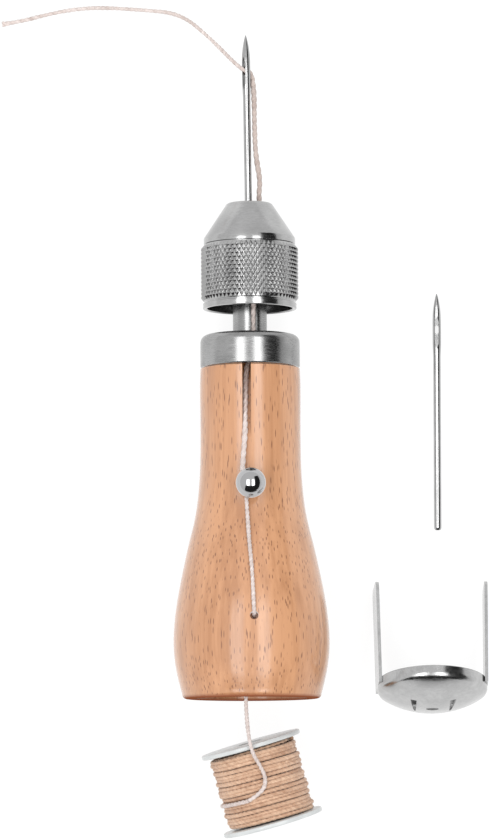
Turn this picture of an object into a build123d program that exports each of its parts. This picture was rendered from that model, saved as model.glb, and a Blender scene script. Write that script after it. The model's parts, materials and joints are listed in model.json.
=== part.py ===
from build123d import *
import os
from math import acos, atan, atan2, cos, hypot, radians, sin, tan

# Lock-stitch sewing awl laid out on a table: the awl lies on its bulb and its chuck with the needle
# towards +Y, its bobbin drawn out of the base on the thread, and the end cap and a spare needle beside it.
# Millimetres.  +Z is up, the table is Z = 0.

os.makedirs("parts", exist_ok=True)

# ---- driving dimensions ------------------------------------------------------------------------

# Stations along the awl axis, measured from the base of the handle towards the needle
handle_length = 78.1
bulb_station = 17.0
chuck_bottom = 92.0
knurl_bottom = 93.7
knurl_top = 106.7
chuck_top = 117.1
needle_tip_station = 157.5

# Handle, turned wood
bulb_radius = 18.33
base_radius = 16.4
base_edge_radius = 1.2
neck_radius = 11.8
cavity_radius = 13.3
cavity_depth = 30.0
tenon_radius = 10.8
tenon_length = 5.7

# Thread and the ways it is led
thread_radius = 0.48
hole_station = 18.7
hole_x = 0.62
hole_radius = 1.0
kerf_x = -0.86
kerf_width = 2.05
kerf_start = (58.3, 12.6)
kerf_end = (86.0, 3.2)
pocket_start = 78.7
pocket_end = 84.5
pocket_height = 7.5
pocket_width = 4.0

# Ferrule, drawn metal cup
ferrule_radius = 11.72
ferrule_top = 85.8
ferrule_edge_radius = 1.8
sheet = 1.2

# Tension stud, ball head on a screw
stud_station = 49.5
stud_x = 0.0
ball_radius = 3.5
ball_height = 16.65
stud_neck_radius = 1.5
stud_bottom = 5.2

# Post that carries the chuck
stem_bottom = 52.1
neck_post_radius = 4.02
post_head_radius = 5.2
post_head_bottom = 94.0
post_top = 104.5
post_bore_radius = 3.45
post_bore_bottom = 95.0
slot_x = 0.8
slot_width = 1.9
slot_floor = 2.0
slot_bottom = 79.5

# Chuck cap and its jaws
chuck_ring_radius = 10.95
knurl_radius = 11.4
band_radius = 10.85
band_top = 108.8
nose_radius = 5.3
skirt_radius = 10.1
skirt_top = 99.0
running_gap = 0.05
jaw_gap = 1.3
seat_bottom = 109.2
seat_top = 112.9
nose_hole_radius = 3.45

# Needles
needle_radius = 0.94
needle_length = 56.5
needle_lean = 0.67
needle_foot = 101.0
eye_turn = 38.0
point_length = 6.0
eye_from_tip = 8.6
eye_length = 2.2
eye_width = 1.1
scarf_length = 3.6

# Bobbin, lying on its two flanges
bobbin_radius = 12.0
bobbin_height = 20.1
flange_thickness = 1.05
core_radius = 4.2
core_bore = 3.1
winding_radius = 10.3
bobbin_x = 2.25
bobbin_y = -20.3
bobbin_turn = 15.7

# End cap, stamped sheet, lying on its rim and on its two prongs
cap_radius = 13.0
cap_wall = 0.7
cap_skirt = 1.9
cap_dome = 5.1
cap_shoulder = 2.6
cap_x = 42.65
cap_y = 3.5
prong_length = 24.2
prong_width = 9.6
prong_corner = 2.0
prong_thickness = 0.75
prong_span = 26.8

# Spare needle, lying flat
spare_x = 44.65
spare_foot_y = 39.3

# ---- where things lie --------------------------------------------------------------------------

# The awl tips forward until its bulb and the top of its knurl both touch the table.
awl_tilt = atan((bulb_radius - 0.17 - knurl_radius) / (knurl_top - bulb_station))
base_height = (bulb_radius - 0.1) * cos(awl_tilt) + bulb_station * sin(awl_tilt)
# The end cap lies on its rim and on the rounded corners of its prongs.
prong_drop = cap_radius - prong_width / 2 + prong_corner
prong_reach = prong_length - prong_corner
cap_tilt = acos(prong_corner / hypot(prong_drop, prong_reach)) - atan2(prong_reach, prong_drop)

# The layout is centred on the origin from side to side and from end to end.
bobbin_reach = bobbin_height / 2 * cos(radians(bobbin_turn)) + bobbin_radius * sin(radians(bobbin_turn))
layout_x = (bulb_radius - cap_x - prong_span / 2) / 2
layout_y = (bobbin_reach - bobbin_y - needle_tip_station * cos(awl_tilt)) / 2


def at(x, y, z=0.0):
    """A point measured from the middle of the handle's base, at height z above the table."""
    return Vector(layout_x + x, layout_y + y, z)


AXIS = Vector(0, cos(awl_tilt), -sin(awl_tilt))
UP = Vector(0, sin(awl_tilt), cos(awl_tilt))
BASE = at(0, 0, base_height)
AWL = Axis(BASE, AXIS)
SIDE = Plane(origin=BASE, x_dir=(1, 0, 0), z_dir=UP)


def on_awl(x, station, height):
    """A point by its place across, along and above the awl axis."""
    return BASE + Vector(1, 0, 0) * x + AXIS * station + UP * height


def lengthwise(x):
    """Plane of sketches that show stations to the right and heights above the axis upwards."""
    return Plane(origin=on_awl(x, 0, 0), x_dir=AXIS, z_dir=(1, 0, 0))


def corner_radii(route, tight=()):
    """The radius at each corner of a route, as large as its two runs allow, or as listed in tight."""
    radii = []
    for i in range(1, len(route) - 1):
        before = route[i] - route[i - 1]
        after = route[i + 1] - route[i]
        half_turn = radians(before.get_angle(after)) / 2
        largest = 0.45 * min(before.length, after.length) / tan(half_turn)
        radii.append(min(largest, dict(tight).get(i, largest)))
    return radii


def make_thread(name, route, tight=()):
    """A length of thread along a route of points."""
    radii = corner_radii(route, tight)
    with BuildPart() as thread:
        with BuildLine() as path:
            FilletPolyline(*route, radius=radii)
        line = path.wire()
        with BuildSketch(Plane(origin=line @ 0, z_dir=line % 0)):
            Circle(thread_radius)
        sweep(path=line)
    thread.part.label = name
    print(name, "length", round(line.length, 2), "radii", [round(r, 1) for r in radii])
    export_step(thread.part, f"parts/{name}.step")


# ---- handle ------------------------------------------------------------------------------------

# Turned outline of the bulb and grip: radius, station
grip_outline = [
    (base_radius, base_edge_radius),
    (17.85, 7.5),
    (bulb_radius, 14.1),
    (17.5, 22.6),
    (15.27, 33.8),
    (12.97, 43.6),
    (12.0, 52.6),
    (neck_radius, 62.0),
    (11.86, 73.0),
    (ferrule_radius, handle_length),
]
tenon_top = handle_length + tenon_length
stem_bore = neck_post_radius + 0.03

with BuildPart() as handle:
    with BuildSketch(SIDE):
        with BuildLine():
            Polyline(
                (0, cavity_depth),
                (cavity_radius, cavity_depth),
                (cavity_radius, 0),
                (base_radius - base_edge_radius, 0),
            )
            RadiusArc(
                (base_radius - base_edge_radius, 0), (base_radius, base_edge_radius), -base_edge_radius
            )
            Spline(*grip_outline)
            Polyline(
                (ferrule_radius, handle_length),
                (tenon_radius, handle_length),
                (tenon_radius, tenon_top),
                (stem_bore, tenon_top),
                (stem_bore, stem_bottom - 0.1),
                (0, stem_bottom - 0.1),
                (0, cavity_depth),
            )
        make_face()
    revolve(axis=AWL)
    # Saw kerf that leads the thread down to the post
    with BuildSketch(lengthwise(kerf_x)):
        Polygon(kerf_start, kerf_end, (kerf_end[0], kerf_start[1]), align=None)
    extrude(amount=kerf_width / 2, both=True, mode=Mode.SUBTRACT)
    # Pocket under the ferrule where the thread crosses from the kerf to the slot in the post
    with BuildSketch(lengthwise(0.1)):
        with Locations(((pocket_start + pocket_end) / 2, pocket_height / 2)):
            Rectangle(pocket_end - pocket_start, pocket_height)
    extrude(amount=pocket_width / 2, both=True, mode=Mode.SUBTRACT)
    # Thread hole through the wall of the bobbin cavity
    with BuildSketch(Plane(origin=on_awl(hole_x, hole_station, 10), x_dir=(1, 0, 0), z_dir=UP)):
        Circle(hole_radius)
    extrude(amount=12.0, mode=Mode.SUBTRACT)
    # Pilot hole of the tension stud
    with BuildSketch(Plane(origin=on_awl(stud_x, stud_station, stud_bottom - 0.1), x_dir=(1, 0, 0), z_dir=UP)):
        Circle(stud_neck_radius + 0.02)
    extrude(amount=12.0, mode=Mode.SUBTRACT)
handle.part.label = "handle"
export_step(handle.part, "parts/handle.step")

# ---- ferrule -----------------------------------------------------------------------------------

ferrule_bore = tenon_radius + 0.04
with BuildPart() as ferrule:
    with BuildSketch(SIDE):
        with BuildLine():
            Polyline(
                (ferrule_bore, handle_length + 0.03),
                (ferrule_radius, handle_length + 0.03),
                (ferrule_radius, ferrule_top - ferrule_edge_radius),
            )
            RadiusArc(
                (ferrule_radius, ferrule_top - ferrule_edge_radius),
                (ferrule_radius - ferrule_edge_radius, ferrule_top),
                -ferrule_edge_radius,
            )
            Polyline(
                (ferrule_radius - ferrule_edge_radius, ferrule_top),
                (neck_post_radius + 0.05, ferrule_top),
                (neck_post_radius + 0.05, ferrule_top - sheet),
                (ferrule_bore, ferrule_top - sheet),
                (ferrule_bore, handle_length + 0.03),
            )
        make_face()
    revolve(axis=AWL)
ferrule.part.label = "ferrule"
export_step(ferrule.part, "parts/ferrule.step")

# ---- tension stud ------------------------------------------------------------------------------

STUD = Plane(origin=on_awl(stud_x, stud_station, 0), x_dir=(1, 0, 0), z_dir=-AXIS)
with BuildPart() as tension_stud:
    with BuildSketch(STUD):
        with BuildLine():
            Polyline(
                (0, stud_bottom),
                (stud_neck_radius, stud_bottom + stud_neck_radius),
                (stud_neck_radius, ball_height - (ball_radius**2 - stud_neck_radius**2) ** 0.5),
            )
            ThreePointArc(
                (stud_neck_radius, ball_height - (ball_radius**2 - stud_neck_radius**2) ** 0.5),
                (ball_radius, ball_height),
                (0, ball_height + ball_radius),
            )
            Line((0, ball_height + ball_radius), (0, stud_bottom))
        make_face()
    revolve(axis=Axis(on_awl(stud_x, stud_station, 0), UP))
tension_stud.part.label = "tension_stud"
export_step(tension_stud.part, "parts/tension_stud.step")

# ---- chuck post --------------------------------------------------------------------------------

with BuildPart() as chuck_post:
    with BuildSketch(SIDE):
        with BuildLine():
            Polyline(
                (0, stem_bottom),
                (neck_post_radius, stem_bottom),
                (neck_post_radius, post_head_bottom),
                (post_head_radius, post_head_bottom + 0.6),
                (post_head_radius, post_top),
                (post_bore_radius, post_top),
                (post_bore_radius, post_bore_bottom),
                (0, post_bore_bottom),
                (0, stem_bottom),
            )
        make_face()
    revolve(axis=AWL)
    # Slot for the thread, open to the front, from under the ferrule up into the bore
    with BuildSketch(lengthwise(slot_x)):
        with Locations(((slot_bottom + post_bore_bottom + 1) / 2, slot_floor + 2.5)):
            Rectangle(post_bore_bottom + 1 - slot_bottom, 5.0)
    extrude(amount=slot_width / 2, both=True, mode=Mode.SUBTRACT)
chuck_post.part.label = "chuck_post"
export_step(chuck_post.part, "parts/chuck_post.step")

# ---- chuck cap ---------------------------------------------------------------------------------

knurl_chamfer = 0.5
thread_bore = post_head_radius + running_gap
with BuildPart() as chuck_cap:
    with BuildSketch(SIDE):
        with BuildLine():
            Polyline(
                (skirt_radius, chuck_bottom),
                (chuck_ring_radius, chuck_bottom),
                (chuck_ring_radius, knurl_bottom),
                (knurl_radius, knurl_bottom + knurl_chamfer),
                (knurl_radius, knurl_top),
                (band_radius, knurl_top + knurl_chamfer),
                (band_radius, band_top),
                (nose_radius + 0.4, chuck_top - 0.6),
                (nose_radius, chuck_top),
                (nose_hole_radius, chuck_top),
                (nose_hole_radius, seat_top),
                (thread_bore, seat_bottom),
                (thread_bore, skirt_top),
                (skirt_radius, skirt_top),
                (skirt_radius, chuck_bottom),
            )
        make_face()
    revolve(axis=AWL)
chuck_cap.part.label = "chuck_cap"
export_step(chuck_cap.part, "parts/chuck_cap.step")

# ---- needles -----------------------------------------------------------------------------------

# The fitted needle leans a little to -X in the jaws.
NEEDLE_AXIS = (AXIS * cos(radians(needle_lean)) - Vector(1, 0, 0) * sin(radians(needle_lean))).normalized()
NEEDLE_FOOT = on_awl(0, needle_foot, 0)
NEEDLE_ACROSS = NEEDLE_AXIS.cross(UP)
# Its eye runs down through it from the upper left to the lower right.
EYE_AXIS = UP * cos(radians(eye_turn)) - NEEDLE_ACROSS * sin(radians(eye_turn))


def make_needle(name, foot, axis, eye_axis):
    """A needle from its foot along axis, with its eye and the hollow behind it cut along eye_axis."""
    tip = needle_length
    eye_bottom = tip - eye_from_tip - eye_length / 2
    with BuildPart() as needle:
        with BuildSketch(Plane(origin=foot, x_dir=axis.cross(eye_axis), z_dir=eye_axis)):
            with BuildLine():
                Polyline(
                    (0, 0),
                    (needle_radius - 0.3, 0),
                    (needle_radius, 0.6),
                    (needle_radius, tip - point_length),
                )
                ThreePointArc(
                    (needle_radius, tip - point_length),
                    (needle_radius * 0.62, tip - point_length * 0.42),
                    (0.12, tip),
                )
                Polyline((0.12, tip), (0, tip), (0, 0))
            make_face()
        revolve(axis=Axis(foot, axis))
        # Eye
        with BuildSketch(Plane(origin=foot + axis * (tip - eye_from_tip), x_dir=axis, z_dir=eye_axis)):
            SlotOverall(eye_length, eye_width)
        extrude(amount=2.0, both=True, mode=Mode.SUBTRACT)
        # Scarf: the hollow on one side below the eye
        with BuildSketch(Plane(origin=foot, x_dir=axis, z_dir=axis.cross(eye_axis))):
            Polygon(
                (eye_bottom + 0.4, 0.55),
                (eye_bottom - scarf_length + 1.0, 0.55),
                (eye_bottom - scarf_length, 1.2),
                (eye_bottom + 0.4, 1.2),
                align=None,
            )
        extrude(amount=2.0, both=True, mode=Mode.SUBTRACT)
    needle.part.label = name
    export_step(needle.part, f"parts/{name}.step")


make_needle("needle", NEEDLE_FOOT, NEEDLE_AXIS, EYE_AXIS)
make_needle("spare_needle", at(spare_x, spare_foot_y, needle_radius + 0.02), Vector(0, 1, 0), Vector(0, 0, 1))

# ---- collet jaws -------------------------------------------------------------------------------

# Two half-round jaws sit on the post inside the cap; the gap between them passes the thread.
jaw_clearance = 0.08


def make_jaw(name, side):
    """One jaw; side is 1 for the upper jaw and -1 for the lower one."""
    with BuildPart() as jaw:
        with BuildSketch(SIDE):
            with BuildLine():
                Polyline(
                    (0, post_top + 0.05),
                    (thread_bore - jaw_clearance, post_top + 0.05),
                    (thread_bore - jaw_clearance, seat_bottom),
                    (nose_hole_radius - jaw_clearance, seat_top),
                    (nose_hole_radius - jaw_clearance, chuck_top - 0.8),
                    (0, chuck_top - 0.8),
                    (0, post_top + 0.05),
                )
            make_face()
        revolve(axis=AWL)
        # Everything beyond the jaw's own face
        with BuildSketch(lengthwise(0)):
            with Locations(((post_top + chuck_top) / 2, side * (jaw_gap / 2 - 10))):
                Rectangle(40, 20)
        extrude(amount=20, both=True, mode=Mode.SUBTRACT)
        # Half-round seat of the needle
        with BuildSketch(Plane(origin=NEEDLE_FOOT, z_dir=NEEDLE_AXIS)):
            Circle(needle_radius + running_gap)
        extrude(amount=40, mode=Mode.SUBTRACT)
    jaw.part.label = name
    export_step(jaw.part, f"parts/{name}.step")


make_jaw("collet_jaw_upper", 1)
make_jaw("collet_jaw_lower", -1)

# ---- thread held by the awl --------------------------------------------------------------------

# Lower run: out of the cavity through its hole, then up the grip to the stud
make_thread(
    "thread_lower_run",
    [
        on_awl(hole_x, hole_station, 13.6),
        on_awl(hole_x, hole_station, 18.35),
        on_awl(hole_x - 0.1, hole_station + 2.7, 18.42),
        on_awl(0.2, 29.4, 16.95),
        on_awl(-0.45, 36.0, 15.5),
        on_awl(-0.8, 41.8, 14.15),
        on_awl(-1.05, 46.3, 13.4),
    ],
    {1: 0.7},
)

# Turns round the stud's neck
wrap_height = 12.75
with BuildPart() as thread_stud_wrap:
    with BuildSketch(Plane(origin=on_awl(stud_x, stud_station, wrap_height), x_dir=(1, 0, 0), z_dir=UP)):
        Circle(stud_neck_radius + 0.05 + 2 * thread_radius)
        Circle(stud_neck_radius + 0.05, mode=Mode.SUBTRACT)
    extrude(amount=0.7)
thread_stud_wrap.part.label = "thread_stud_wrap"
export_step(thread_stud_wrap.part, "parts/thread_stud_wrap.step")

# Upper run: from the stud into the kerf, under the ferrule, up the slot and into the bore of the post
needle_run_offset = 2.8
RUN_FOOT = NEEDLE_FOOT - NEEDLE_ACROSS * -needle_run_offset
make_thread(
    "thread_upper_run",
    [
        on_awl(-1.95, 52.6, 13.0),
        on_awl(-1.6, 57.4, 12.65),
        on_awl(-1.2, 62.0, 12.1),
        on_awl(-1.2, 69.0, 9.75),
        on_awl(-0.9, 77.8, 6.7),
        on_awl(0.3, 80.9, 5.0),
        on_awl(slot_x, 84.0, 3.2),
        on_awl(slot_x, 93.4, 3.1),
        on_awl(1.3, 96.4, 2.3),
        RUN_FOOT - NEEDLE_AXIS * 1.4,
        RUN_FOOT - NEEDLE_AXIS * 0.05,
    ],
)


def beside_needle(across, along, height=0.0):
    """A point by its place to the right of, along and above the fitted needle."""
    return NEEDLE_FOOT + NEEDLE_ACROSS * across + NEEDLE_AXIS * along + UP * height


eye_along = needle_length - eye_from_tip
EYE = beside_needle(0, eye_along)
# Needle run: straight up through the chuck, then beside the needle and into its eye from below
make_thread(
    "thread_needle_run",
    [
        beside_needle(needle_run_offset, 0),
        beside_needle(needle_run_offset, 14.8),
        beside_needle(2.45, 18.0),
        beside_needle(2.9, 21.6),
        beside_needle(2.2, 27.3),
        beside_needle(2.05, 33.2),
        beside_needle(2.1, 43.6, -0.3),
        EYE - EYE_AXIS * 1.9,
        EYE - EYE_AXIS * 0.05,
    ],
    {7: 0.8},
)

# ---- free thread -------------------------------------------------------------------------------

# Tail: out of the eye, down to the table and away to -X
table_height = thread_radius + 0.04
make_thread(
    "thread_tail",
    [
        EYE + EYE_AXIS * 0.05,
        EYE + EYE_AXIS * 1.9,
        at(-9.3, 157.0, 4.3),
        at(-16.2, 163.1, table_height),
        at(-25.5, 164.0, table_height),
        at(-34.7, 164.6, table_height),
        at(-40.2, 164.35, table_height),
        at(-44.6, 163.7, table_height),
        at(-49.7, 162.6, table_height),
        at(-53.7, 161.55, table_height),
        at(-58.8, 160.7, table_height),
    ],
    {1: 0.8, 3: 2.0},
)

# Lead: from the hole in the cavity wall out over the base's rim and the flange to the winding
make_thread(
    "thread_lead",
    [
        on_awl(0.62, 18.1, 12.3),
        on_awl(0.2, 12.5, 12.0),
        on_awl(-0.9, 5.5, 12.15),
        on_awl(-1.5, 0.0, 12.1),
        at(-1.2, -5.2, 28.6),
        at(-0.6, -10.0, 25.9),
        at(0.3, -13.0, 24.5),
        at(1.9, -15.6, 23.35),
        at(3.2, -18.4, 23.05),
        at(2.6, -21.6, 23.1),
        at(-0.9, -23.8, 22.35),
    ],
)

# ---- bobbin ------------------------------------------------------------------------------------

turn = radians(bobbin_turn)
BOBBIN_AXIS = Vector(-sin(turn), cos(turn), 0)
BOBBIN_FOOT = at(bobbin_x, bobbin_y, bobbin_radius + 0.02) - BOBBIN_AXIS * (bobbin_height / 2)
BOBBIN_SIDE = Plane(origin=BOBBIN_FOOT, x_dir=(cos(turn), sin(turn), 0), z_dir=(0, 0, 1))

with BuildPart() as bobbin_spool:
    with BuildSketch(BOBBIN_SIDE):
        with BuildLine():
            Polyline(
                (core_bore, 0),
                (bobbin_radius, 0),
                (bobbin_radius, flange_thickness),
                (core_radius, flange_thickness),
                (core_radius, bobbin_height - flange_thickness),
                (bobbin_radius, bobbin_height - flange_thickness),
                (bobbin_radius, bobbin_height),
                (core_bore, bobbin_height),
                (core_bore, 0),
            )
        make_face()
    revolve(axis=Axis(BOBBIN_FOOT, BOBBIN_AXIS))
    rims = bobbin_spool.edges().filter_by(GeomType.CIRCLE).filter_by(lambda e: e.radius > bobbin_radius - 0.01)
    fillet(rims, 0.3)
bobbin_spool.part.label = "bobbin_spool"
export_step(bobbin_spool.part, "parts/bobbin_spool.step")

# Thread wound on the bobbin, as one closed ring
winding_gap = 0.05
with BuildPart() as thread_winding:
    with BuildSketch(BOBBIN_SIDE):
        with BuildLine():
            Polyline(
                (core_radius + winding_gap, flange_thickness + winding_gap),
                (winding_radius, flange_thickness + winding_gap),
                (winding_radius, bobbin_height - flange_thickness - winding_gap),
                (core_radius + winding_gap, bobbin_height - flange_thickness - winding_gap),
                close=True,
            )
        make_face()
    revolve(axis=Axis(BOBBIN_FOOT, BOBBIN_AXIS))
thread_winding.part.label = "thread_winding"
export_step(thread_winding.part, "parts/thread_winding.step")

# ---- end cap -----------------------------------------------------------------------------------

CAP_AXIS = Vector(0, cos(cap_tilt), -sin(cap_tilt))
CAP_UP = Vector(0, sin(cap_tilt), cos(cap_tilt))
CAP_RIM = at(cap_x, cap_y, cap_radius * cos(cap_tilt) + 0.03)
CAP_SIDE = Plane(origin=CAP_RIM, x_dir=(1, 0, 0), z_dir=CAP_UP)
dome_inside = cap_radius - cap_wall
dome_radius = (cap_radius**2 + cap_dome**2) / (2 * cap_dome)
cap_depth = cap_skirt + cap_dome
inside_skirt = cap_depth - dome_radius + ((dome_radius - cap_wall) ** 2 - dome_inside**2) ** 0.5

with BuildPart() as end_cap_shell:
    with BuildSketch(CAP_SIDE):
        with BuildLine():
            Polyline((dome_inside, 0), (cap_radius, 0), (cap_radius, -cap_skirt))
            RadiusArc((cap_radius, -cap_skirt), (0, -cap_depth), dome_radius)
            Line((0, -cap_depth), (0, cap_wall - cap_depth))
            RadiusArc((0, cap_wall - cap_depth), (dome_inside, -inside_skirt), cap_wall - dome_radius)
            Line((dome_inside, -inside_skirt), (dome_inside, 0))
        make_face()
    revolve(axis=Axis(CAP_RIM, CAP_AXIS))
    shoulder = end_cap_shell.edges().filter_by(GeomType.CIRCLE)
    fillet(shoulder.filter_by(lambda e: abs((e.arc_center - CAP_RIM).length - cap_skirt) < 0.01), cap_shoulder)
    # Three openings lanced through the dome, one in the middle and a wedge on each side of it
    dome_plane = Plane(origin=CAP_RIM - CAP_AXIS * 12, x_dir=(1, 0, 0), z_dir=CAP_AXIS)
    with BuildSketch(dome_plane):
        for side in (-1, 1):
            with BuildLine():
                Polyline(
                    (side * 5.4, -4.1),
                    (side * 4.0, -4.4),
                    (side * 3.9, 2.8),
                    (side * 4.3, 2.8),
                    (side * 5.4, -4.1),
                )
            make_face()
        Ellipse(1.5, 0.85)
    extrude(amount=9.0, mode=Mode.SUBTRACT)
end_cap_shell.part.label = "end_cap_shell"
export_step(end_cap_shell.part, "parts/end_cap_shell.step")

# The prongs carry on from the wall of the rim as flat strips that splay a little towards their tips.
# The left one is twisted a little, so that its inner face shows from above.
prong_root = 1.2
prong_splay = atan((prong_span / 2 - cap_radius) / prong_length)
for side, twist, name in ((-1, 3.4, "end_cap_prong_left"), (1, 0.0, "end_cap_prong_right")):
    prong_axis = (CAP_AXIS * cos(prong_splay) + Vector(1, 0, 0) * side * sin(prong_splay)).normalized()
    outward = prong_axis.cross(CAP_UP) * side
    middle = CAP_RIM + outward * (cap_radius - prong_thickness) - prong_axis * prong_root
    face = (outward * cos(radians(twist)) + CAP_UP * sin(radians(twist))).normalized()
    with BuildPart() as prong:
        with BuildSketch(Plane(origin=middle, x_dir=prong_axis, z_dir=face)):
            with Locations(((prong_root + prong_length) / 2, 0)):
                strip = Rectangle(prong_root + prong_length, prong_width)
            fillet(strip.vertices().group_by(Axis.X)[-1], prong_corner)
        extrude(amount=prong_thickness)
    prong.part.label = name
    export_step(prong.part, f"parts/{name}.step")
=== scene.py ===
import json
import math

import bpy
from mathutils import Matrix, Vector


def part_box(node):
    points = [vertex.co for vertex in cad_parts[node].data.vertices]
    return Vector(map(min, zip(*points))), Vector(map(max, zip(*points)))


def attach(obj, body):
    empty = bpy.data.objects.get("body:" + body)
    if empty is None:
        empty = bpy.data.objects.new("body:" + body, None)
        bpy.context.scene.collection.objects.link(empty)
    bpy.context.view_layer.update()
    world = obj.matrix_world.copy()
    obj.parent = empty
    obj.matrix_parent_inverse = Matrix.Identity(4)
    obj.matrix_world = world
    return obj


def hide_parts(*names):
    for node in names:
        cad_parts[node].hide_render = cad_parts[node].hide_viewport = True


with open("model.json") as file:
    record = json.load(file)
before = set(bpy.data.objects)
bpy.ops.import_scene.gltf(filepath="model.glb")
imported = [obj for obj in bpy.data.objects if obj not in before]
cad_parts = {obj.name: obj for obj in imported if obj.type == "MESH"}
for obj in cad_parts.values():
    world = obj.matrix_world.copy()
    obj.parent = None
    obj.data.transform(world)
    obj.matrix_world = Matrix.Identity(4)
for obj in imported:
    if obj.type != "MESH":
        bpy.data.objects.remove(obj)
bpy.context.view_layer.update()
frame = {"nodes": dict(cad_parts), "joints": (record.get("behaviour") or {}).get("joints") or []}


# ---- the lie of the awl ------------------------------------------------------------------------
# The awl lies on its bulb and its chuck, so everything on it stands along one sloping axis.
# Its pieces are turned upright at the origin in millimetres, front to -Y, and then laid down on it.

MM = 0.001
chuck_middle = 100

joints = {j["name"]: j for j in frame["joints"]}
axis = Vector(joints["chuck_turn"]["axis"]).normalized()
up = Vector((1, 0, 0)).cross(axis)
base = Vector(joints["chuck_turn"]["pos_m"]) - axis * chuck_middle * MM
AWL = Matrix.Translation(base) @ Matrix((Vector((1, 0, 0)), -up, axis)).transposed().to_4x4()


def lay_down(piece, place):
    """Moves an upright piece, made in millimetres, to its place; its object stays at the origin."""
    piece.data.transform(place @ Matrix.Scale(MM, 4))
    piece.data.update()
    return piece


def on_awl(x, station, height):
    """A point by its place across, along and above the awl axis, in millimetres."""
    return base + (Vector((1, 0, 0)) * x + axis * station + up * height) * MM


# ---- camera ------------------------------------------------------------------------------------
# A long lens straight above the table, over the grip, shifted to take in the needle and its thread.

camera_height = 1.045
camera_left = 1.52 * MM
camera_along = 40.8 * MM
camera_roll = math.radians(-0.3)
camera = bpy.data.cameras.new("overhead_camera")
camera.lens = 187.3
camera.shift_y = 0.1249
camera.clip_start = 0.05
camera.clip_end = 20
view_from_above = bpy.data.objects.new("overhead_camera", camera)
view_from_above.location = (base.x - camera_left, base.y + camera_along, camera_height)
view_from_above.rotation_euler = (0, 0, camera_roll)
bpy.context.scene.collection.objects.link(view_from_above)
bpy.context.scene.camera = view_from_above


# ---- waxed thread ------------------------------------------------------------------------------
# Two plies of waxed polyester twisted together, about 1 mm thick. It is soft to the eye but holds a
# kink, and each ply shows as a slanting band with fine fibres along it.

thread_radius = 0.48 * MM
twist_length = 2.3 * MM
frayed_end = 2.5 * MM


def linear(code):
    """Linear colour of an sRGB hex code."""
    values = [int(code[i : i + 2], 16) / 255 for i in (0, 2, 4)]
    return [v / 12.92 if v <= 0.04045 else ((v + 0.055) / 1.055) ** 2.4 for v in values] + [1.0]


def add(material, kind, inputs={}, **settings):
    """Adds one node to a material; an input is a value or the socket that feeds it."""
    made = material.node_tree.nodes.new("ShaderNode" + kind)
    for name, value in settings.items():
        setattr(made, name, value)
    for name, value in inputs.items():
        if isinstance(value, bpy.types.NodeSocket):
            material.node_tree.links.new(value, made.inputs[name])
        else:
            made.inputs[name].default_value = value
    return made


def new_finish(name, **values):
    """A material whose plain values sit on the shader's own sockets."""
    material = bpy.data.materials.new(name)
    material.use_nodes = True
    shader = material.node_tree.nodes["Principled BSDF"]
    for socket, value in values.items():
        shader.inputs[socket.replace("_", " ")].default_value = value
    return material, shader


def feed(material, socket, target):
    """Joins a socket to an input of the shader."""
    material.node_tree.links.new(socket, target)


def thread_finish(name, light, dark):
    """Waxed polyester: colour uneven along the plies, a soft waxy gloss and fine fibres."""
    material, shader = new_finish(name, Roughness=0.55, Sheen_Weight=0.25, Sheen_Roughness=0.5)
    shader.inputs["Specular IOR Level"].default_value = 0.35
    place = add(material, "UVMap", uv_map="thread")
    fibres = add(
        material, "Mapping", {"Vector": place.outputs["UV"], "Scale": (1 / (1.2 * MM), 9, 1)}
    )
    fuzz = add(
        material,
        "TexNoise",
        {"Vector": fibres.outputs["Vector"], "Scale": 1.0, "Detail": 4.0, "Roughness": 0.7},
    )
    wax = add(
        material, "Mapping", {"Vector": place.outputs["UV"], "Scale": (1 / (9 * MM), 1.0, 1)}
    )
    patches = add(
        material, "TexNoise", {"Vector": wax.outputs["Vector"], "Scale": 1.0, "Detail": 2.0}
    )
    both = add(
        material,
        "Math",
        {0: fuzz.outputs["Fac"], 1: patches.outputs["Fac"]},
        operation="MULTIPLY",
    )
    ramp = add(material, "ValToRGB", {"Fac": both.outputs["Value"]})
    ramp.color_ramp.elements[0].position = 0.12
    ramp.color_ramp.elements[0].color = linear(dark)
    ramp.color_ramp.elements[1].position = 0.38
    ramp.color_ramp.elements[1].color = linear(light)
    feed(material, ramp.outputs["Color"], shader.inputs["Base Color"])
    bump = add(
        material,
        "Bump",
        {"Height": fuzz.outputs["Fac"], "Strength": 0.45, "Distance": 0.12 * MM},
    )
    feed(material, bump.outputs["Normal"], shader.inputs["Normal"])
    return material


def smooth_line(points):
    """The points of the NURBS line that a limp thread takes along its route."""
    curve = bpy.data.curves.new("route", "CURVE")
    curve.dimensions = "3D"
    curve.resolution_u = 24
    spline = curve.splines.new("NURBS")
    spline.points.add(len(points) - 1)
    for target, point in zip(spline.points, points):
        target.co = (*point, 1.0)
    spline.order_u = 3
    spline.use_endpoint_u = True
    carrier = bpy.data.objects.new("route", curve)
    bpy.context.scene.collection.objects.link(carrier)
    bpy.context.view_layer.update()
    line = bpy.data.meshes.new_from_object(carrier)
    path = [v.co.copy() for v in line.vertices]
    bpy.data.objects.remove(carrier)
    bpy.data.meshes.remove(line)
    return path


def even_steps(path, step):
    """The same line with its points about one step apart."""
    lengths = [0.0]
    for a, b in zip(path, path[1:]):
        lengths.append(lengths[-1] + (b - a).length)
    count = max(2, round(lengths[-1] / step))
    even = []
    at = 0
    for k in range(count + 1):
        wanted = lengths[-1] * k / count
        while at < len(path) - 2 and lengths[at + 1] < wanted:
            at += 1
        share = (wanted - lengths[at]) / max(lengths[at + 1] - lengths[at], 1e-9)
        even.append(path[at].lerp(path[at + 1], min(max(share, 0.0), 1.0)))
    return even


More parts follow.
